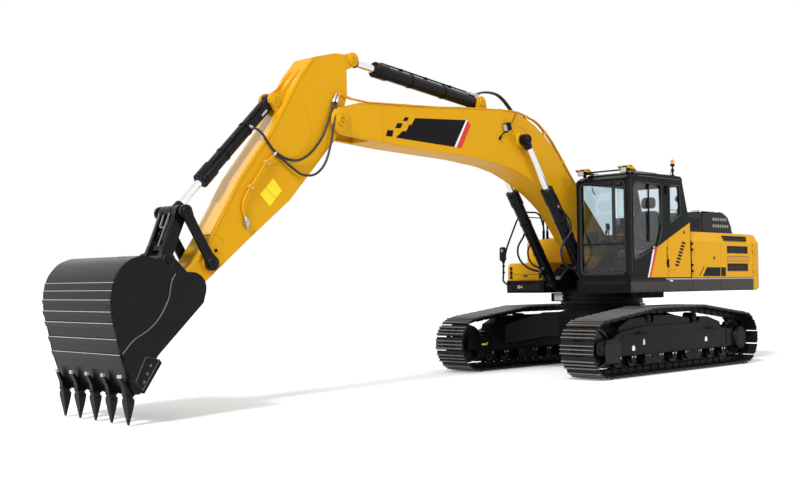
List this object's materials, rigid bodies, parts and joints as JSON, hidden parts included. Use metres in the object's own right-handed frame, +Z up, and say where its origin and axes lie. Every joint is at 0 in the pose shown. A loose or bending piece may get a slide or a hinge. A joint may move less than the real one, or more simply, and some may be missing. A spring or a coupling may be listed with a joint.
{
  "type": "crawler excavator",
  "caption": "Crawler excavator on tracks, with a slewing cab and engine house, a boom, an arm and a toothed bucket moved by cylinders.",
  "frame": {"origin": "middle of the object's box on the ground it stands on", "axes": "+X forward, along the boom from the counterweight to the bucket; +Y to the cab side; +Z up"},
  "size_m": [13.28, 3.19, 4.616],
  "materials": {
    "yellow_paint": "gloss",
    "black_paint": "satin",
    "track_steel": "satin",
    "rod_chrome": "polished",
    "cast_weight": "satin",
    "dark_plastic": "matte",
    "engine_grey": "matte"
  },
  "bodies": {
    "undercarriage": {"car_body": "black_paint", "track_left": "track_steel", "track_right": "track_steel", "track_frame_left": "black_paint", "track_frame_right": "black_paint", "idler_left": "black_paint", "idler_right": "black_paint", "final_drive_left": "black_paint", "final_drive_right": "black_paint", "rollers_left": "black_paint", "rollers_right": "black_paint"},
    "upper": {"slewing_ring": "black_paint", "platform": "black_paint", "counterweight": "cast_weight", "bulkhead": "black_paint", "bay_cover": "yellow_paint", "intake_box": "dark_plastic", "engine": "engine_grey", "fuel_tank": "yellow_paint", "hydraulic_tank": "yellow_paint", "tool_box": "yellow_paint", "cab_floor": "black_paint", "cab_front": "black_paint", "cab_rear": "black_paint", "cab_right": "black_paint", "cab_quarter": "black_paint", "cab_roof": "black_paint", "seat": "dark_plastic", "console_left": "dark_plastic", "console_right": "dark_plastic", "handrail": "black_paint"},
    "cab_door": {"cab_door": "black_paint"},
    "left_front_door": {"side_door_left_front": "yellow_paint"},
    "left_rear_door": {"side_door_left_rear": "yellow_paint"},
    "right_door": {"side_door_right": "yellow_paint"},
    "hood": {"hood": "dark_plastic"},
    "boom": {"boom": "yellow_paint"},
    "arm": {"arm": "yellow_paint"},
    "bucket": {"bucket": "black_paint"},
    "levers": {"lever_left": "black_paint", "lever_right": "black_paint"},
    "link": {"bucket_link": "black_paint"},
    "boom_barrels": {"boom_cylinder_left_barrel": "black_paint", "boom_cylinder_right_barrel": "black_paint"},
    "boom_rods": {"boom_cylinder_left_rod": "rod_chrome", "boom_cylinder_right_rod": "rod_chrome"},
    "arm_barrel": {"arm_cylinder_barrel": "black_paint"},
    "arm_rod": {"arm_cylinder_rod": "rod_chrome"},
    "bucket_barrel": {"bucket_cylinder_barrel": "black_paint"},
    "bucket_rod": {"bucket_cylinder_rod": "rod_chrome"}
  },
  "joints": [
    {"name": "slew", "type": "hinge", "parent": "undercarriage", "child": "upper", "pos_m": [-3.195, 0, 1.19], "axis": [0, 0, 1], "continuous": true},
    {"name": "boom_lift", "type": "hinge", "parent": "upper", "child": "boom", "pos_m": [-3.135, 0, 1.87], "axis": [0, -1, 0], "range_deg": [-50, 42]},
    {"name": "arm_swing", "type": "hinge", "parent": "boom", "child": "arm", "pos_m": [2.989, 0, 3.642], "axis": [0, 1, 0], "range_deg": [-17, 95]},
    {"name": "bucket_curl", "type": "hinge", "parent": "arm", "child": "bucket", "pos_m": [5.357, 0, 1.465], "axis": [0, 1, 0], "range_deg": [-38, 126]},
    {"name": "boom_cylinder_turn", "type": "hinge", "parent": "upper", "child": "boom_barrels", "pos_m": [-2.295, 0, 1.42], "axis": [0, -1, 0], "range_deg": [-53.9, 45.27]},
    {"name": "boom_rod_slide", "type": "slide", "parent": "boom_barrels", "child": "boom_rods", "axis": [0.5685, 0, 0.8227], "range_m": [-0.7122, 0.5982]},
    {"name": "arm_cylinder_turn", "type": "hinge", "parent": "boom", "child": "arm_barrel", "pos_m": [0.008, 0, 4.226], "axis": [0, 1, 0], "range_deg": [-1.7, 9.49]},
    {"name": "arm_rod_slide", "type": "slide", "parent": "arm_barrel", "child": "arm_rod", "axis": [0.9938, 0, 0.1111], "range_m": [-0.2348, 1.3123]},
    {"name": "bucket_cylinder_turn", "type": "hinge", "parent": "arm", "child": "bucket_barrel", "pos_m": [3.971, 0, 3.829], "axis": [0, 1, 0], "range_deg": [-0.82, 2.7]},
    {"name": "bucket_rod_slide", "type": "slide", "parent": "bucket_barrel", "child": "bucket_rod", "axis": [0.6937, 0, -0.7203], "range_m": [-0.2411, 0.7994]},
    {"name": "lever_turn", "type": "hinge", "parent": "arm", "child": "levers", "pos_m": [5.045, 0, 1.744], "axis": [0, 1, 0], "range_deg": [-22.52, 74.69]},
    {"name": "link_turn", "type": "hinge", "parent": "bucket", "child": "link", "pos_m": [5.635, 0, 1.765], "axis": [0, -1, 0], "range_deg": [-26.26, 87.06]},
    {"name": "cab_door_hinge", "type": "hinge", "parent": "upper", "child": "cab_door", "pos_m": [-2.9425, 1.496, 2.3], "axis": [0, 0, 1], "range_deg": [0, 175]},
    {"name": "left_front_door_hinge", "type": "hinge", "parent": "upper", "child": "left_front_door", "pos_m": [-3.7, 1.496, 1.9], "axis": [0, 0, 1], "range_deg": [-90, 0]},
    {"name": "left_rear_door_hinge", "type": "hinge", "parent": "upper", "child": "left_rear_door", "pos_m": [-5.801, 1.496, 1.9], "axis": [0, 0, -1], "range_deg": [-90, 0]},
    {"name": "right_door_hinge", "type": "hinge", "parent": "upper", "child": "right_door", "pos_m": [-5.801, -1.496, 1.9], "axis": [0, 0, -1], "range_deg": [0, 90]},
    {"name": "hood_hinge", "type": "hinge", "parent": "upper", "child": "hood", "pos_m": [-5.687, 0.225, 2.311], "axis": [0, -1, 0], "range_deg": [0, 70]}
  ],
  "couplings": [
    {"joint": "boom_cylinder_turn", "follows": "boom_lift", "ratio": 1.0568},
    {"joint": "boom_rod_slide", "follows": "boom_lift", "m_per_rad": 0.808},
    {"joint": "arm_cylinder_turn", "follows": "arm_swing", "ratio": 0.0908},
    {"joint": "arm_rod_slide", "follows": "arm_swing", "m_per_rad": 0.7836},
    {"joint": "bucket_cylinder_turn", "follows": "bucket_curl", "ratio": 0.0195},
    {"joint": "bucket_rod_slide", "follows": "bucket_curl", "m_per_rad": 0.3599},
    {"joint": "lever_turn", "follows": "bucket_curl", "ratio": 0.5811},
    {"joint": "link_turn", "follows": "bucket_curl", "ratio": 0.6774}
  ]
}
